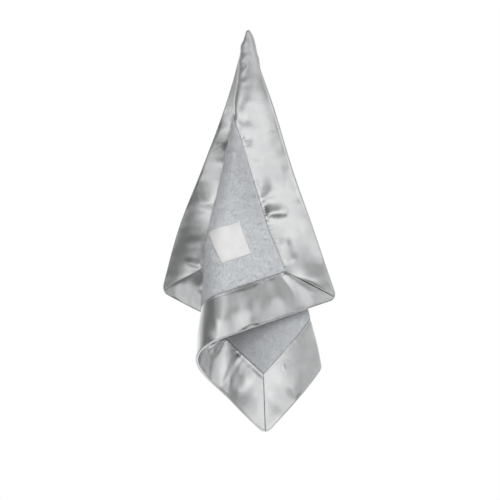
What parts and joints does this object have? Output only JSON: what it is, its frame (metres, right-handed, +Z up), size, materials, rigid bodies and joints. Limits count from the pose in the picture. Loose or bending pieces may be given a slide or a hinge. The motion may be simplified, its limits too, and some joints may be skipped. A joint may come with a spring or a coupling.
{
  "type": "comfort blanket lovey",
  "caption": "Square baby comfort blanket of soft plush with a wide mitred satin binding and a bare sewn label, hung by one corner in a Z fold.",
  "frame": {"origin": "middle of the bundle where a clothes peg grips the folded corner", "axes": "+Z up along the hang, the front leaf with the label faces -Y, +X to the right seen from the front"},
  "size_m": [0.2159, 0.1632, 0.4923],
  "materials": {
    "grey_plush": "short dense matte pile",
    "silver_satin": "glossy satin with soft ripples",
    "white_label_cloth": "smooth matte woven tape"
  },
  "bodies": {
    "root": {"front_plush_panel": "grey_plush", "back_plush_panel": "grey_plush", "satin_binding_upper_right": "silver_satin", "satin_binding_lower_right": "silver_satin", "satin_binding_lower_left": "silver_satin", "satin_binding_upper_left": "silver_satin", "sewn_label": "white_label_cloth"}
  },
  "joints": []
}
